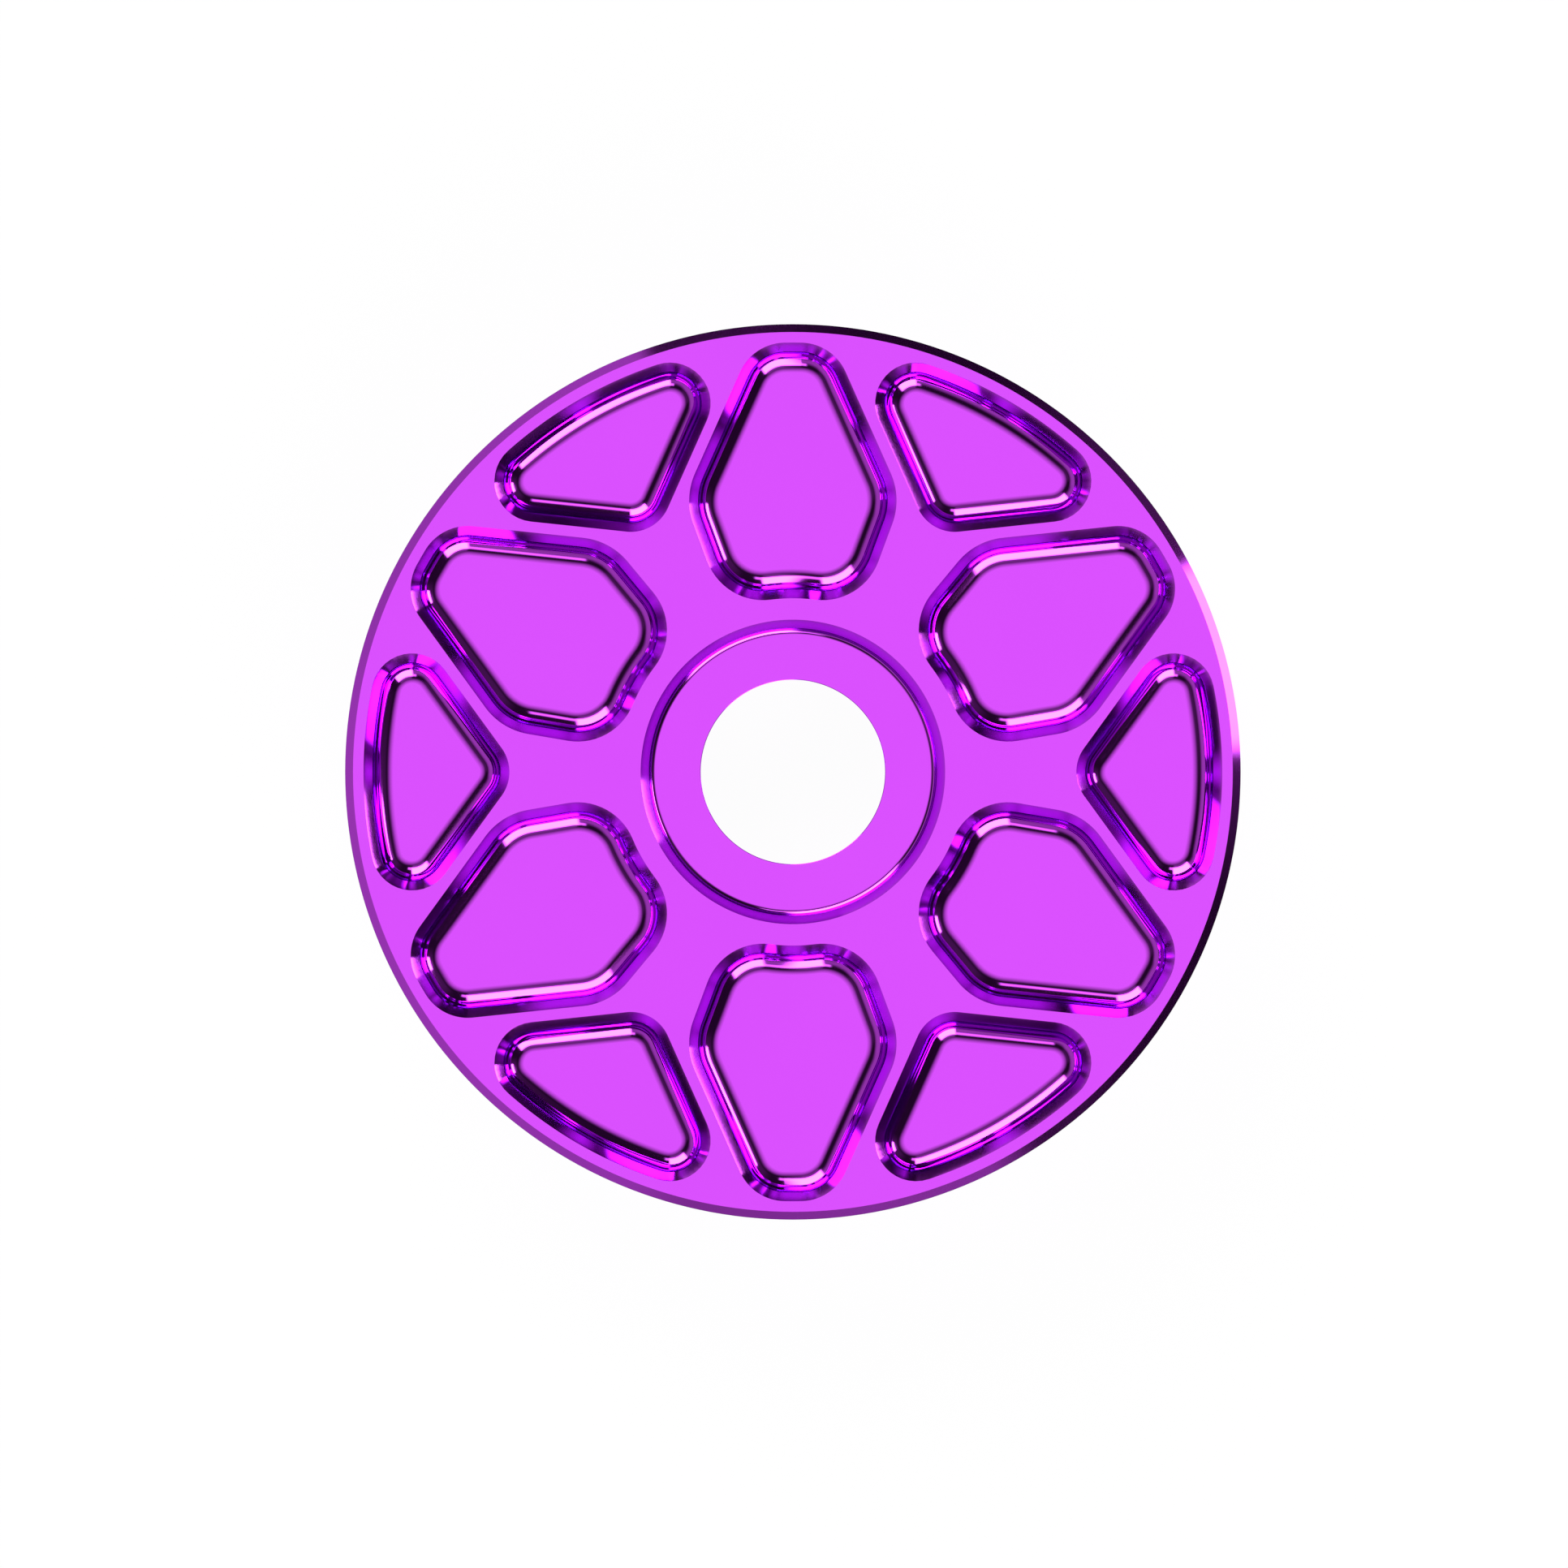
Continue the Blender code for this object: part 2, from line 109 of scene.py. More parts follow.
# Fineness of the meshes
ROUND_STEPS = 240
SMALL_ROUND_STEPS = 144
CORNER_STEPS = 14
ARC_STEPS = 18
FILLET_STEPS = 10
DISH_STEPS = 8
GROOVE_STEPS = 16
BALL_STEPS = 32
EDGE_STEPS = 4
SHARP_ANGLE = math.radians(30.0)

# Finishes: the two colours that each one clouds between, and the spacing of the rings that the lathe left
PURPLE = ((0.592, 0.067, 0.844, 1.0), (0.610, 0.072, 0.854, 1.0))
STEEL = ((0.58, 0.58, 0.60, 1.0), (0.66, 0.66, 0.68, 1.0))
NYLON = ((0.67, 0.63, 0.53, 1.0), (0.77, 0.73, 0.63, 1.0))
# Keeps the purple from going white where the metal is seen at a low angle
PURPLE_EDGE_TINT = (0.87, 0.45, 0.96, 1.0)
ALUMINIUM_FEED = 0.11
STEEL_FEED = 0.08
LOCK_RING_MARKS = 0.1

# Studio
CAMERA_LENS = 1500.0
CAMERA_HEIGHT = 4529.0
CAMERA_OFFSET = Vector((-0.614, -0.836))
CAMERA_REACH = 10000.0
FLOOR_SIZE = 300.0
FLOOR_COLOUR = (0.9, 0.9, 0.9, 1.0)
FLOOR_GLOW_SHARE = 0.97

# Light panels on the studio dome, in degrees: azimuth, half width at the foot and at the top, heights of the
# foot and of the top, softness of the sides, softness of the foot and of the top. The last number is the
# brightness.
# Each panel lies over those before it.
PANELS = (
    # Grey wall to the left, dimmer towards -Y and a little brighter in its middle, with a faint top
    (203.1, 93.8, 93.8, -40.0, 35.0, 1.5, 13.0, 0.45),
    (276.0, 24.0, 24.0, -40.0, 20.0, 5.0, 8.0, 0.32),
    (198.0, 32.0, 32.0, -40.0, 36.5, 8.0, 13.0, 0.49),
    (204.0, 22.0, 22.0, 48.0, 60.0, 8.0, 6.0, 0.09),
    # Faint wall to the right
    (22.0, 28.0, 28.0, -40.0, 48.0, 14.0, 10.0, 0.08),
    # Two opposite soft boxes, each with a glow above it and a flare beside it
    (112.8, 22.0, 22.0, 50.0, 66.0, 4.0, 5.0, 0.29),
    (292.8, 22.0, 22.0, 50.0, 66.0, 4.0, 5.0, 0.29),
    (83.5, 6.0, 6.0, 38.0, 51.0, 2.5, 5.0, 1.9),
    (263.5, 6.0, 6.0, 38.0, 51.0, 2.5, 5.0, 1.9),
    (112.8, 22.5, 24.5, 7.0, 49.6, 3.0, 6.5, 6.8),
    (292.8, 22.5, 24.5, 7.0, 49.6, 3.0, 6.5, 6.8),
    # Soft box to the right, with a glow above it
    (17.0, 8.0, 6.0, 25.0, 38.0, 5.0, 6.0, 0.42),
    (15.2, 12.1, 10.7, -1.6, 25.5, 1.6, 5.0, 7.7),
)
# White panel overhead: brightness, azimuth of its long axis, length over width, half length, softness and
# shift along that axis, in degrees
OVERHEAD_BRIGHTNESS = 1.24
OVERHEAD_AXIS = 25.0
OVERHEAD_LENGTH = 1.38
OVERHEAD_EDGE = 17.4
OVERHEAD_SOFT = 21.5
OVERHEAD_SHIFT = 1.3
DARK_WALL = 0.02


race_low, race_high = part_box("bearing_outer_race")
bearing_level = (race_low.z + race_high.z) / 2 / MM


def extent(node):
    """Outer radius, lowest height and highest height of a turned CAD node, from the middle of the bearing."""
    low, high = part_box(node)
    return high.x / MM, low.z / MM - bearing_level, high.z / MM - bearing_level


disc_radius, rear_face, front_face = extent("disc_body")
ring_radius, flange_bottom, dish_top = extent("front_finger_ring")
sleeve_radius, _, sleeve_end = extent("hub_sleeve")
washer_radius, washer_bottom, washer_top = extent("front_spacer_washer")
race_radius, _, race_height = extent("bearing_outer_race")
inner_shoulder, _, _ = extent("bearing_inner_race")
shield_radius, shield_bottom, shield_top = extent("front_shield")
clip_radius, clip_bottom, clip_top = extent("front_shield_clip")
lock_ring_radius, _, lock_ring_top = extent("bearing_lock_ring")
cage_radius, cage_bottom, cage_top = extent("ball_cage")
ball_radius = extent("ball_01")[2]
bore_radius = sleeve_radius - SLEEVE_WALL
race_bore = inner_shoulder - RACE_WALL
outer_shoulder = race_radius - RACE_WALL
pitch_radius = (inner_shoulder + outer_shoulder) / 2
lip_radius = ring_radius - DISH_WALL
finger_face = dish_top - DISH_FILLET
lock_hole_radius = lock_ring_radius + SEAT_GAP
wall_spread = POCKET_CHAMFER + POCKET_FILLET
pocket_outer_radius = disc_radius - RIM_WALL
petal_inner_radius = lock_hole_radius + HUB_WALL


class Wire:
    """An output of a shader node. Sums and products of wires and numbers become Math nodes."""

    def __init__(self, tree, socket=None):
        self.tree = tree
        self.socket = socket

    def node(self, kind, settings=None, inputs=None, output=0):
        """Adds a node with its settings and its input values or wires, and gives one of its outputs."""
        made = self.tree.nodes.new(kind)
        for name, value in (settings or {}).items():
            setattr(made, name, value)
        for name, value in (inputs or {}).items():
            if isinstance(value, Wire):
                self.tree.links.new(value.socket, made.inputs[name])
            else:
                made.inputs[name].default_value = value
        return Wire(self.tree, made.outputs[output] if made.outputs else None)

    def math(self, operation, *values):
        return self.node("ShaderNodeMath", {"operation": operation}, dict(enumerate(values)))

    def step(self, low, high):
        """A soft step from 0 at low to 1 at high."""
        settings = {"interpolation_type": "SMOOTHSTEP"}
        return self.node("ShaderNodeMapRange", settings, {"Value": self, "From Min": low, "From Max": high})

    def __add__(self, other):
        return self.math("ADD", self, other)

    def __radd__(self, other):
        return self.math("ADD", other, self)

    def __sub__(self, other):
        return self.math("SUBTRACT", self, other)

    def __rsub__(self, other):
        return self.math("SUBTRACT", other, self)

    def __mul__(self, other):
        return self.math("MULTIPLY", self, other)

    def __rmul__(self, other):
        return self.math("MULTIPLY", other, self)

    def __truediv__(self, other):
        return self.math("DIVIDE", self, other)

    def mix(self, first, second):
        """A colour between two colours, with this wire as the share of the second."""
        settings = {"data_type": "RGBA"}
        inputs = {"Factor": self, 6: first, 7: second}
        return self.node("ShaderNodeMix", settings, inputs, 2)


def new_material(name):
    made = bpy.data.materials.new(name)
    made.use_nodes = True
    made.node_tree.nodes.clear()
    return made, Wire(made.node_tree)


def noise(point, scale, detail=3.0):
    return point.node("ShaderNodeTexNoise", {}, {"Vector": point, "Scale": scale, "Detail": detail})


def turning_marks(point, spacing):
    """Fine rings round the axis, as a lathe leaves them, from 0 to 1."""
    x, y = (point.node("ShaderNodeSeparateXYZ", {}, {"Vector": point}, axis) for axis in "XY")
    radius = point.math("SQRT", x * x + y * y)
    return point.math("SINE", radius * (math.tau / spacing)) * 0.5 + 0.5


def anodised(name, marks):
    """Bright purple anodised aluminium. marks is how strongly the lathe's rings show."""
    made, start = new_material(name)
    point = start.node("ShaderNodeTexCoord", {}, {}, "Object")
    clouds = noise(point, 90.0)
    grain = noise(point, 4000.0, 2.0)
    colour = clouds.mix(*PURPLE)
    roughness = 0.07 + 0.02 * grain
    height = turning_marks(point, ALUMINIUM_FEED * MM)
    bump = start.node("ShaderNodeBump", {}, {"Strength": marks, "Distance": 0.001 * MM, "Height": height})
    inputs = {"Base Color": colour, "Metallic": 1.0, "Roughness": roughness, "Normal": bump}
    inputs["Specular Tint"] = PURPLE_EDGE_TINT
    shader = start.node("ShaderNodeBsdfPrincipled", {}, inputs)
    start.node("ShaderNodeOutputMaterial", {}, {"Surface": shader})
    return made


def bearing_steel(name):
    made, start = new_material(name)
    point = start.node("ShaderNodeTexCoord", {}, {}, "Object")
    clouds = noise(point, 300.0)
    height = turning_marks(point, STEEL_FEED * MM)
    colour = clouds.mix(*STEEL)
    roughness = 0.14 + 0.1 * clouds
    bump = start.node("ShaderNodeBump", {}, {"Strength": 0.1, "Distance": 0.002 * MM, "Height": height})
    inputs = {"Base Color": colour, "Metallic": 1.0, "Roughness": roughness, "Normal": bump}
    shader = start.node("ShaderNodeBsdfPrincipled", {}, inputs)
    start.node("ShaderNodeOutputMaterial", {}, {"Surface": shader})
    return made


def cage_nylon(name):
    made, start = new_material(name)
    point = start.node("ShaderNodeTexCoord", {}, {}, "Object")
    clouds = noise(point, 700.0)
    colour = clouds.mix(*NYLON)
    bump = start.node("ShaderNodeBump", {}, {"Strength": 0.2, "Distance": 0.01 * MM, "Height": clouds})
    inputs = {"Base Color": colour, "Roughness": 0.42 + 0.16 * clouds, "Normal": bump}
    shader = start.node("ShaderNodeBsdfPrincipled", {}, inputs)
    start.node("ShaderNodeOutputMaterial", {}, {"Surface": shader})
    return made


def studio_white(name):
    """The floor: white to the camera and in reflections, with the object's shadow in its matt share."""
    made, start = new_material(name)
    rays = ("Is Camera Ray", "Is Glossy Ray", "Is Transmission Ray")
    camera, glossy, through = (start.node("ShaderNodeLightPath", {}, {}, kind) for kind in rays)
    seen = start.math("MAXIMUM", start.math("MAXIMUM", camera, glossy), through)
    matt = start.node("ShaderNodeBsdfDiffuse", {}, {"Color": FLOOR_COLOUR})
    glow = start.node("ShaderNodeEmission", {}, {"Strength": 1.0})
    lit = start.node("ShaderNodeMixShader", {}, {0: seen * FLOOR_GLOW_SHARE, 1: matt, 2: glow})
    below = start.node("ShaderNodeNewGeometry", {}, {}, "Backfacing")
    clear = start.node("ShaderNodeBsdfTransparent")
    shader = start.node("ShaderNodeMixShader", {}, {0: below, 1: lit, 2: clear})
    start.node("ShaderNodeOutputMaterial", {}, {"Surface": shader})
    return made


def mesh_object(name, shape):
    """Turns a finished bmesh into an object in the frame, smooth with sharp edges."""
    bmesh.ops.recalc_face_normals(shape, faces=shape.faces)
    bmesh.ops.translate(shape, vec=(0, 0, bearing_level), verts=shape.verts)
    bmesh.ops.scale(shape, vec=(MM, MM, MM), verts=shape.verts)
    mesh = bpy.data.meshes.new(name)
    shape.to_mesh(mesh)
    shape.free()
    mesh.shade_smooth()
    mesh.set_sharp_from_angle(angle=SHARP_ANGLE)
    made = bpy.data.objects.new(name, mesh)
    bpy.context.scene.collection.objects.link(made)
    return made


def even_shading(piece):
    """Keeps a turned piece's flat faces flat to the light beside its rounded edges."""
    shading = piece.modifiers.new("even_shading", "WEIGHTED_NORMAL")
    shading.keep_sharp = True


def fit(piece, node, finish):
    """Gives a piece its finish and puts it in the place of a CAD node, on that node's body."""
    piece.data.materials.clear()
    piece.data.materials.append(finish)
    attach(piece, frame["nodes"][node]["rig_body"])
    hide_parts(node)


def carve(piece, cutter):
    """Cuts the closed bodies of a bmesh out of a piece."""
    tool = mesh_object("cutter", cutter)
    cut = piece.modifiers.new("cut", "BOOLEAN")
    cut.object = tool
    cut.solver = "EXACT"
    depsgraph = bpy.context.evaluated_depsgraph_get()
    piece.data = bpy.data.meshes.new_from_object(piece.evaluated_get(depsgraph))
    piece.modifiers.clear()
    bpy.data.objects.remove(tool)
    piece.data.set_sharp_from_angle(angle=SHARP_ANGLE)


def sweep(shape, geometry, steps, turn=math.tau):
    """Spins a section round the Z axis."""
    bmesh.ops.spin(
        shape,
        geom=geometry,
        cent=(0, 0, 0),
        axis=(0, 0, 1),
        angle=turn,
        steps=steps,
        use_merge=turn == math.tau,
    )


def sharp_corners(points):
    """The points of a closed section where it turns sharply."""
    found = []
    for before, point, after in zip(points[-1:] + points[:-1], points, points[1:] + points[:1]):
        if (point.co - before.co).angle(after.co - point.co) > SHARP_ANGLE:
            found.append(point)
    return found


def ring(section, edge=EDGE_BREAK, opening=0.0, steps=ROUND_STEPS):
    """A turned ring from its section, with its sharp corners rounded and an opening for a C shape."""
    shape = bmesh.new()
    points = [shape.verts.new((radius, 0, height)) for radius, height in section]
    shape.faces.new(points)
    bmesh.ops.bevel(
        shape,
        geom=sharp_corners(points),
        offset=edge,
        offset_type="OFFSET",
        affect="VERTICES",
        segments=EDGE_STEPS,
        profile=0.5,
        material=-1,
    )
    if opening == 0:
        bmesh.ops.delete(shape, geom=shape.faces[:], context="FACES_ONLY")
    sweep(shape, [*shape.verts, *shape.edges, *shape.faces], steps, math.tau - opening)
    return shape


def flipped(section):
    return [(radius, -height) for radius, height in section]


def rectangle(inner, outer, bottom, top):
    return [(inner, bottom), (outer, bottom), (outer, top), (inner, top)]


def arc(centre, radius, start, end, steps):
    """Points from one angle to another, both ends included."""
    angles = [start + (end - start) * step / steps for step in range(steps + 1)]
    return [Vector(centre) + radius * Vector((math.cos(angle), math.sin(angle))) for angle in angles]


def line_meets_circle(normal_angle, distance, radius):
    """Where a line, given by its normal and its distance from the centre, leaves a circle round the centre."""
    normal = Vector((math.cos(normal_angle), math.sin(normal_angle)))
    along = Vector((normal.y, -normal.x))
    return normal * distance + along * math.sqrt(radius**2 - distance**2)


def lines_meet(first_angle, first_distance, second_angle, second_distance):
    """Where two lines cross, each given by its normal and its distance from the centre."""
    scale = math.sin(second_angle - first_angle)
    x = first_distance * math.sin(second_angle) - second_distance * math.sin(first_angle)
    y = second_distance * math.cos(first_angle) - first_distance * math.cos(second_angle)
    return Vector((x, y)) / scale


def polar_angle(point):
    return math.atan2(point.y, point.x)


petal_long_side = PETAL_TIP_HALF_WIDTH * math.cos(PETAL_LONG_SIDE_ANGLE)
petal_long_side += pocket_outer_radius * math.sin(PETAL_LONG_SIDE_ANGLE)


def petal_half():
    """Half of a petal's edge on the face, along +X, from its outer end to its inner end."""
    long_normal = math.pi / 2 - PETAL_LONG_SIDE_ANGLE
    short_normal = math.pi / 2 + PETAL_SHORT_SIDE_ANGLE
    tip_radius = PETAL_TIP_CORNER + wall_spread
    waist_radius = PETAL_WAIST_CORNER + wall_spread
    root_radius = PETAL_ROOT_CORNER + wall_spread
    tip = line_meets_circle(long_normal, petal_long_side - tip_radius, pocket_outer_radius - tip_radius)
    waist = lines_meet(
        long_normal, petal_long_side - waist_radius, short_normal, PETAL_ROOT_OFFSET - waist_radius
    )
    root = line_meets_circle(short_normal, PETAL_ROOT_OFFSET - root_radius, petal_inner_radius + root_radius)
    inner = arc((0, 0), petal_inner_radius, polar_angle(root), 0, ARC_STEPS)
    return [
        Vector((pocket_outer_radius, 0)),
        *arc(tip, tip_radius, polar_angle(tip), long_normal, CORNER_STEPS),
        *arc(waist, waist_radius, long_normal, short_normal, CORNER_STEPS),
        *arc(root, root_radius, short_normal, polar_angle(root) + math.pi, CORNER_STEPS),
        *inner[1:],
    ]


def triangle_half():
    """Half of a triangle's edge on the face, along +X, from its outer side to its point."""
    lean = math.pi / POCKET_COPIES - (math.pi / 2 - PETAL_LONG_SIDE_ANGLE)
    side_normal = lean + math.pi
    side_distance = -(petal_long_side + WEB_WIDTH)
    corner_radius = TRIANGLE_CORNER + wall_spread
    corner = line_meets_circle(
        side_normal, side_distance - corner_radius, pocket_outer_radius - corner_radius
    )
    point = Vector(((corner_radius - side_distance) / math.cos(lean), 0))
    outer = arc((0, 0), pocket_outer_radius, 0, polar_angle(corner), ARC_STEPS)
    return [
        *outer[:-1],
        *arc(corner, corner_radius, polar_angle(corner), side_normal, CORNER_STEPS),
        *arc(point, corner_radius, side_normal, math.pi, CORNER_STEPS),
    ]


def mirrored_outline(half):
    """The whole outline from its half on the +Y side, whose two ends lie on the X axis."""
    return half + [Vector((point.x, -point.y)) for point in reversed(half[1:-1])]


def pocket_outlines():
    """The twelve pocket edges on a face, in plan."""
    pitch = math.tau / POCKET_COPIES
    outlines = []
    for half, first in ((triangle_half(), 0.0), (petal_half(), 0.5)):
        outline = mirrored_outline(half)
        for copy in range(POCKET_COPIES):
            turn = Matrix.Rotation((copy + first) * pitch, 2)
            outlines.append([turn @ point for point in outline])
    return outlines


def sink_pocket(shape, floor):
    """Sinks one flat pocket face by insets: a chamfer, the wall, a round floor fillet and the floor's edge."""
    wall = POCKET_DEPTH - POCKET_CHAMFER - POCKET_FILLET
    steps = [(POCKET_CHAMFER, POCKET_CHAMFER), (WALL_DRAFT, wall)]
    angles = [math.pi / 2 * step / FILLET_STEPS for step in range(FILLET_STEPS + 1)]
    for start, end in zip(angles, angles[1:]):
        across = (POCKET_FILLET - WALL_DRAFT) * (math.cos(start) - math.cos(end))
        steps.append((across, POCKET_FILLET * (math.sin(end) - math.sin(start))))
    steps.append((FLOOR_EDGE, 0.0))
    for across, down in steps:
        bmesh.ops.inset_region(
            shape, faces=[floor], thickness=across, depth=-down, use_even_offset=True, use_boundary=True
        )


def lip(face):
    """The section from a face, round the room for a finger ring, to the stop over the outer race."""
    underside = dish_top + RUNNING_GAP
    room = ring_radius + RUNNING_GAP
    return [
        (lip_radius + LIP_CHAMFER, face),
        (lip_radius, face - LIP_CHAMFER),
        (lip_radius, underside),
        (room, underside),
        (room, -lock_ring_top),
    ]


def disc_shape():
    shape = bmesh.new()
    shoulder = FACE_GAP - race_height
    rim = [
        (disc_radius - RIM_CHAMFER, front_face),
        (disc_radius, front_face - RIM_CHAMFER),
        (disc_radius, rear_face + RIM_CHAMFER),
        (disc_radius - RIM_CHAMFER, rear_face),
    ]
    hub = [
        *lip(front_face),
        (race_radius + SEAT_GAP, -lock_ring_top),
        (race_radius + SEAT_GAP, shoulder),
        (lock_hole_radius, shoulder),
        (lock_hole_radius, rear_face),
    ]
    for line in (rim, hub):
        points = [shape.verts.new((radius, 0, height)) for radius, height in line]
        edges = [shape.edges.new(pair) for pair in zip(points, points[1:])]
        sweep(shape, [*points, *edges], ROUND_STEPS)
    for side, level in ((1, front_face), (-1, rear_face)):
        pockets = []
        for outline in pocket_outlines():
            points = [shape.verts.new((*point, level)) for point in outline]
            for pair in zip(points, points[1:] + points[:1]):
                shape.edges.new(pair)
            pockets.append(points)
        flat = [
            edge
            for edge in shape.edges
            if len(edge.link_faces) < 2 and all(abs(vert.co.z - level) < FLOOR_EDGE for vert in edge.verts)
        ]
        bmesh.ops.triangle_fill(shape, use_beauty=True, edges=flat, normal=(0, 0, side))
        for points in pockets:
            floor = shape.faces.new(points if side == 1 else points[::-1])
            floor.normal_update()
            sink_pocket(shape, floor)
    return shape


def make_disc():
    disc = mesh_object("milled_disc", disc_shape())
    fit(disc, "disc_body", anodised("disc_anodised", 0.0))


def make_lock_ring():
    section = [
        *flipped(lip(-rear_face)),
        (lock_ring_radius, lock_ring_top),
        (lock_ring_radius, rear_face),
    ]
    lock_ring = mesh_object("threaded_lock_ring", ring(section))
    notches = bmesh.new()
    length = LOCK_NOTCH_REACH * 2
    size = Matrix.Diagonal((length, LOCK_NOTCH_WIDTH, LOCK_NOTCH_DEPTH * 2, 1))
    place = Matrix.Translation((lip_radius, 0, rear_face))
    for notch in range(LOCK_NOTCH_COUNT):
        turn = Matrix.Rotation(math.tau * notch / LOCK_NOTCH_COUNT, 4, "Z")
        bmesh.ops.create_cube(notches, size=1, matrix=turn @ place @ size)
    carve(lock_ring, notches)
    even_shading(lock_ring)
    fit(lock_ring, "bearing_lock_ring", anodised("lock_ring_anodised", LOCK_RING_MARKS))


def make_hub():
    finish = anodised("hub_anodised", 0.0)
    sleeve = mesh_object("bore_sleeve", ring(rectangle(bore_radius, sleeve_radius, -sleeve_end, sleeve_end)))
    fit(sleeve, "hub_sleeve", finish)
    around_sleeve = sleeve_radius + SEAT_GAP
    step = sleeve_end + FACE_GAP
    finger_ring = [
        (around_sleeve, flange_bottom),
        (ring_radius, flange_bottom),
        (ring_radius, dish_top),
        *arc((lip_radius - DISH_FILLET, dish_top), DISH_FILLET, 0, -math.pi / 2, DISH_STEPS),
        (bore_radius, finger_face),
        (bore_radius, step),
        (around_sleeve, step),
    ]
    washer = rectangle(around_sleeve, washer_radius, washer_bottom, washer_top)
    steel = bearing_steel("washer_steel")
    for side, place in (("front", list), ("rear", flipped)):
        cap = mesh_object(f"{side}_ring_turned", ring(place(finger_ring)))
        even_shading(cap)
        fit(cap, f"{side}_finger_ring", finish)
        spacer = mesh_object(f"{side}_washer_turned", ring(place(washer), steps=SMALL_ROUND_STEPS))
        fit(spacer, f"{side}_spacer_washer", steel)


def groove(shoulder, facing):
    """The section of a ball groove from its front edge to its rear edge. facing is the angle of its middle."""
    radius = ball_radius + GROOVE_PLAY
    half_turn = math.acos(abs(shoulder - pitch_radius) / radius)
    front = half_turn if facing == 0 else math.pi - half_turn
    return [tuple(point) for point in arc((pitch_radius, 0), radius, front, 2 * facing - front, GROOVE_STEPS)]


def make_bearing():
    steel = bearing_steel("race_steel")
    seat_height = shield_bottom - SEAT_GAP
    seat_radius = outer_shoulder + SHIELD_SEAT
    front_step = [
        (race_radius, race_height),
        (seat_radius, race_height),
        (seat_radius, seat_height),
        (outer_shoulder, seat_height),
    ]
    section = front_step + groove(outer_shoulder, 0) + flipped(front_step[::-1])
    outer_race = mesh_object("outer_race_ground", ring(section, steps=SMALL_ROUND_STEPS))
    fit(outer_race, "bearing_outer_race", steel)
    front_edge = [(race_bore, race_height), (inner_shoulder, race_height)]
    section = front_edge + groove(inner_shoulder, math.pi) + flipped(front_edge[::-1])
    inner_race = mesh_object("inner_race_ground", ring(section, steps=SMALL_ROUND_STEPS))
    fit(inner_race, "bearing_inner_race", steel)


def make_shields():
    steel = bearing_steel("shield_steel")
    shield = rectangle(inner_shoulder + FACE_GAP, shield_radius, shield_bottom, shield_top)
    clip = rectangle(clip_radius - CLIP_WIDTH, clip_radius, clip_bottom, clip_top)
    for side, place in (("front", list), ("rear", flipped)):
        cover = mesh_object(f"{side}_shield_pressed", ring(place(shield), steps=SMALL_ROUND_STEPS))
        fit(cover, f"{side}_shield", steel)
        split_ring = ring(place(clip), opening=CLIP_OPENING, steps=SMALL_ROUND_STEPS)
        wire = mesh_object(f"{side}_clip_bent", split_ring)
        fit(wire, f"{side}_shield_clip", steel)


def make_balls():
    nodes = sorted(name for name in frame["nodes"] if name.startswith("ball_") and name != "ball_cage")
    turns = [Matrix.Rotation(math.tau * index / len(nodes), 4, "Z") for index in range(len(nodes))]
    steel = bearing_steel("ball_steel")
    for node, turn in zip(nodes, turns):
        shape = bmesh.new()
        place = turn @ Matrix.Translation((pitch_radius, 0, 0))
        bmesh.ops.create_uvsphere(
            shape, u_segments=BALL_STEPS, v_segments=BALL_STEPS // 2, radius=ball_radius, matrix=place
        )
        ball = mesh_object(node.replace("ball", "lapped_ball"), shape)
        fit(ball, node, steel)
    section = rectangle(inner_shoulder + CAGE_SIDE_GAP, cage_radius, cage_bottom, cage_top)
    cage = mesh_object("crown_cage", ring(section, steps=SMALL_ROUND_STEPS))
    pockets = bmesh.new()
    lie_outward = Matrix.Translation((pitch_radius, 0, 0)) @ Matrix.Rotation(math.pi / 2, 4, "Y")
    for turn in turns:
        bmesh.ops.create_cone(
            pockets,
            cap_ends=True,
            segments=BALL_STEPS,
            radius1=ball_radius + CAGE_PLAY,
            radius2=ball_radius + CAGE_PLAY,
            depth=outer_shoulder - inner_shoulder,
            matrix=turn @ lie_outward,
        )
    carve(cage, pockets)
    fit(cage, "ball_cage", cage_nylon("cage_nylon"))


def make_floor():
    shape = bmesh.new()
    lie = Matrix.Translation((0, 0, rear_face))
    bmesh.ops.create_grid(shape, x_segments=1, y_segments=1, size=FLOOR_SIZE / 2, matrix=lie)
    floor = mesh_object("floor", shape)
    floor.data.materials.append(studio_white("studio_white"))


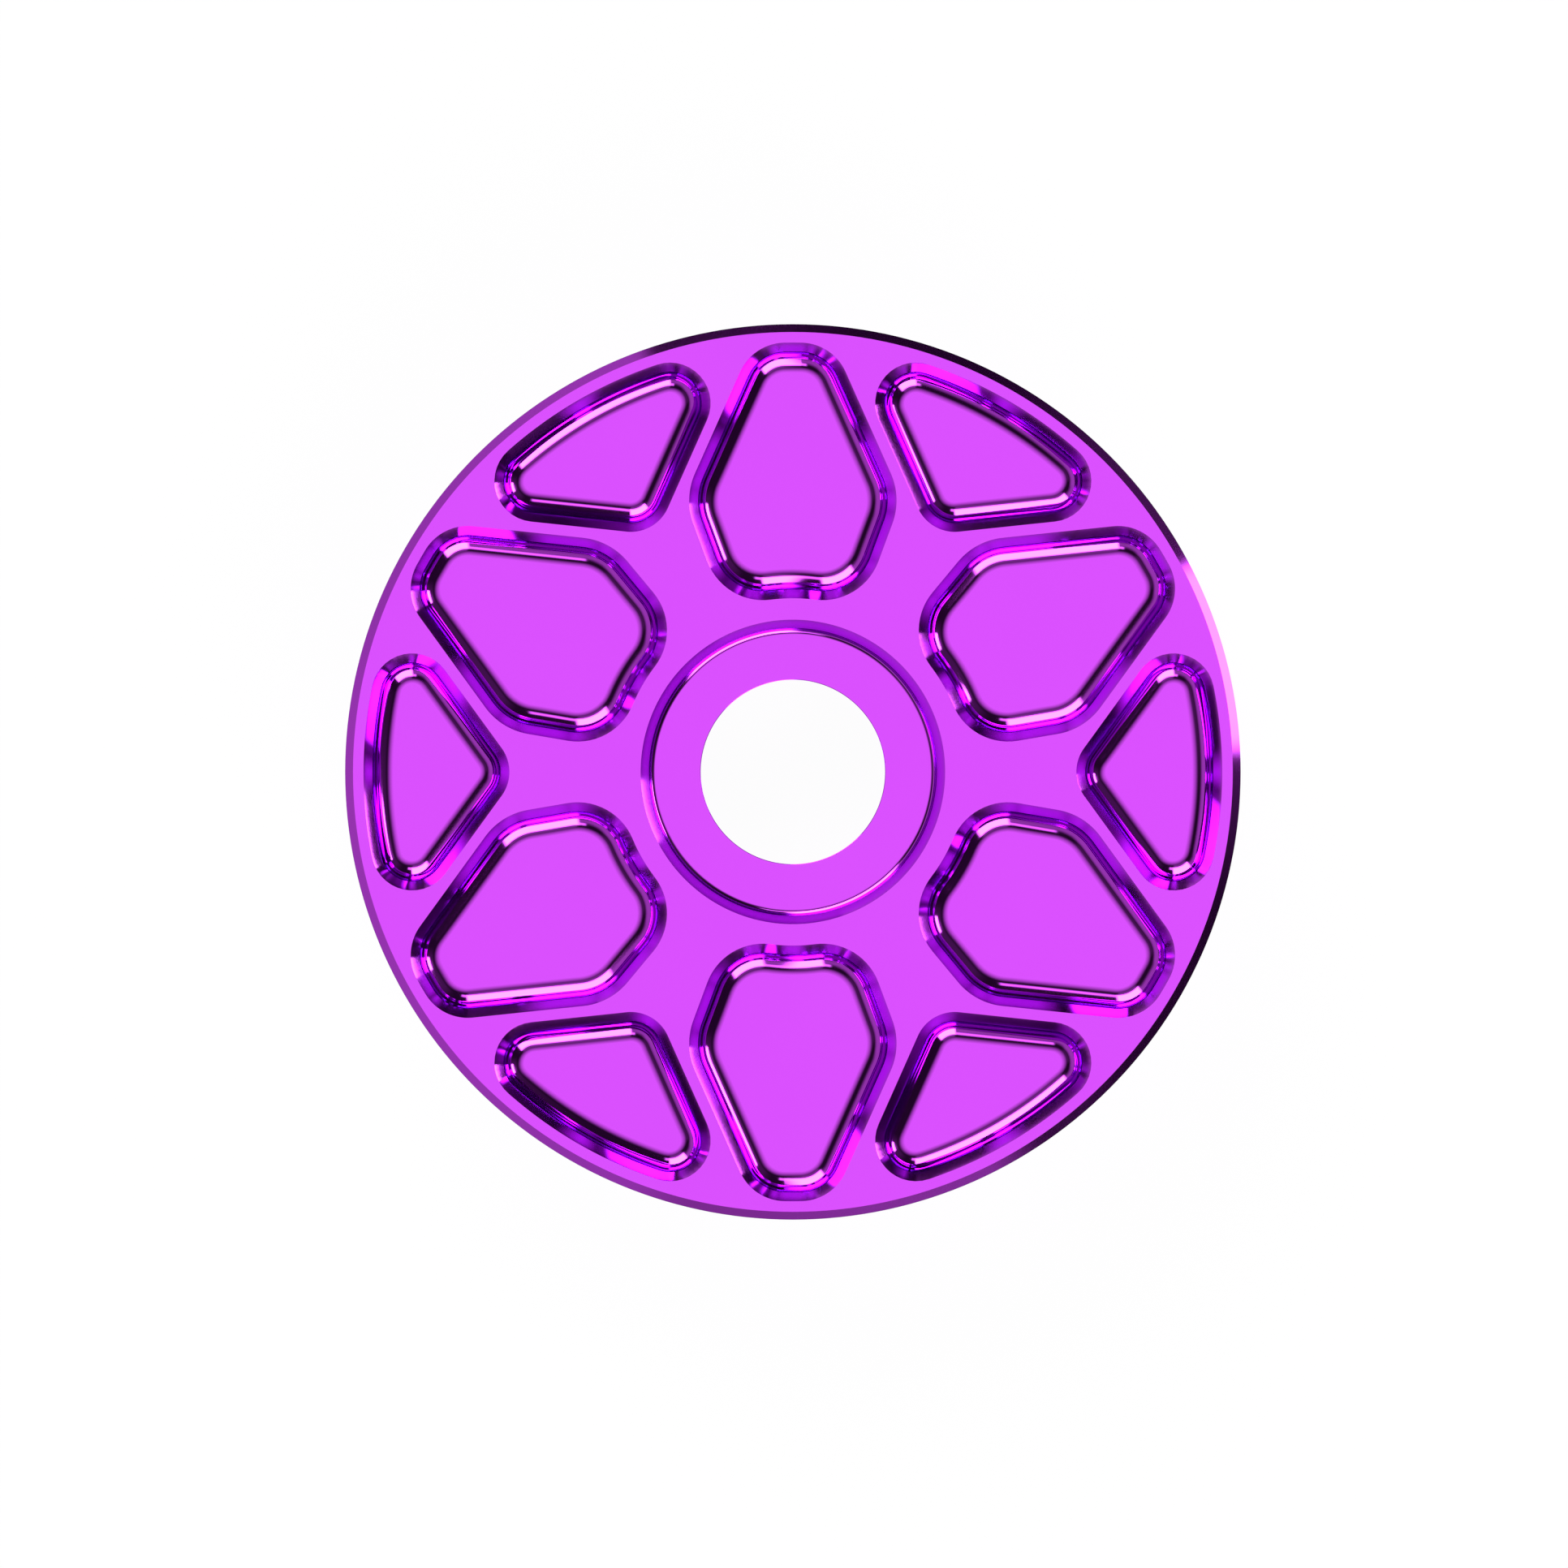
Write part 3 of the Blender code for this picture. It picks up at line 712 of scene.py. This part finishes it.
def light_studio():
    """A dark dome that the metal mirrors, with a white panel overhead and the panels in PANELS."""
    world = bpy.data.worlds.new("studio")
    bpy.context.scene.world = world
    world.use_nodes = True
    world.node_tree.nodes.clear()
    start = Wire(world.node_tree)

    def glow(strength):
        return start.node("ShaderNodeBackground", {}, {"Color": (1, 1, 1, 1), "Strength": strength})

    def cover(dome, share, strength):
        return start.node("ShaderNodeMixShader", {}, {0: share, 1: dome, 2: glow(strength)})

    direction = {"Vector": start.node("ShaderNodeTexCoord", {}, {}, "Generated")}
    x, y, z = (start.node("ShaderNodeSeparateXYZ", {}, direction, axis) for axis in "XYZ")
    plan = x.math("SQRT", x * x + y * y + 1e-6)
    height = z.math("ARCSINE", z) * math.degrees(1)

    def toward(azimuth):
        """The cosine of the angle in plan between each direction and an azimuth."""
        turn = math.radians(azimuth)
        return (x * math.cos(turn) + y * math.sin(turn)) / plan

    lean = 90 - height
    along = lean * toward(OVERHEAD_AXIS)
    across = (lean * lean - along * along) * OVERHEAD_LENGTH**2
    reach = across.math("SQRT", across + (along - OVERHEAD_SHIFT) * (along - OVERHEAD_SHIFT))
    overhead = 1 - reach.step(OVERHEAD_EDGE - OVERHEAD_SOFT, OVERHEAD_EDGE + OVERHEAD_SOFT)
    dome = cover(glow(DARK_WALL), overhead, OVERHEAD_BRIGHTNESS)
    for azimuth, foot_width, top_width, foot, top, side_soft, end_soft, brightness in PANELS:
        beside = toward(azimuth)
        across = beside.math("ARCCOSINE", beside) * math.degrees(1)
        half_width = foot_width + (height - foot) * ((top_width - foot_width) / (top - foot))
        inside = 1 - (across - half_width).step(-side_soft, side_soft)
        above = height.step(foot - end_soft, foot + end_soft)
        below = 1 - height.step(top - end_soft, top + end_soft)
        dome = cover(dome, inside * above * below, brightness)
    camera = start.node("ShaderNodeLightPath", {}, {}, "Is Camera Ray")
    start.node("ShaderNodeOutputWorld", {}, {"Surface": cover(dome, camera, 1.0)})


def place_camera():
    data = bpy.data.cameras.new("camera")
    data.lens = CAMERA_LENS
    data.clip_end = CAMERA_REACH * MM
    made = bpy.data.objects.new("camera", data)
    made.location = Vector((*CAMERA_OFFSET, CAMERA_HEIGHT)) * MM
    bpy.context.scene.collection.objects.link(made)
    bpy.context.scene.camera = made


make_disc()
make_lock_ring()
make_hub()
make_bearing()
make_shields()
make_balls()
make_floor()
light_studio()
place_camera()
bpy.context.scene.view_settings.view_transform = "Standard"
